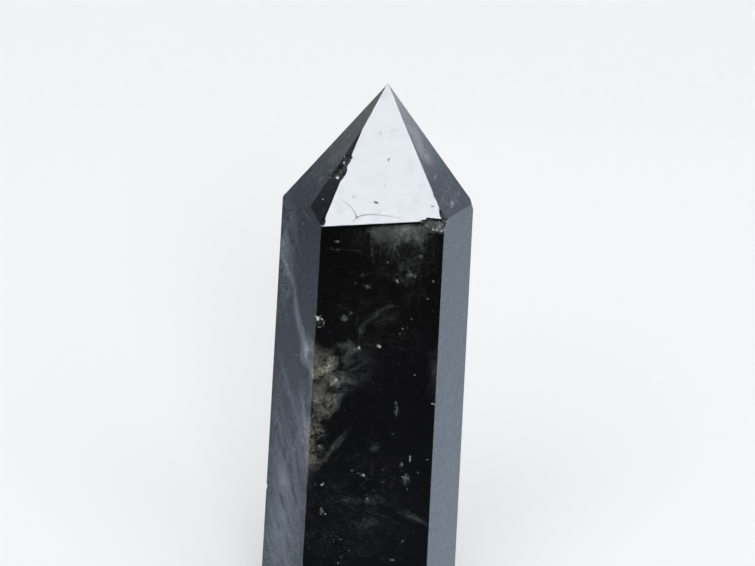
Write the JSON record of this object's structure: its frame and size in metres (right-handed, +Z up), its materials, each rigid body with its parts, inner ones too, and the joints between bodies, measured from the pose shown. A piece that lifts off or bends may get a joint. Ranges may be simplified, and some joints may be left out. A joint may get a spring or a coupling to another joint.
{
  "type": "morion quartz point",
  "caption": "Upright polished point of near-black smoky quartz: a flattened hexagonal column with a faceted tip, chipped edges, pale inner veils and a flat foot to stand on.",
  "frame": {"origin": "centre of the foot, on the surface that the crystal stands on", "axes": "+Z up along the crystal, -Y out of the broad front face, +X to the right of someone facing it"},
  "size_m": [0.0264, 0.0166, 0.08],
  "materials": {
    "morion": "polished"
  },
  "bodies": {
    "root": {"morion_point": "morion"}
  },
  "joints": []
}
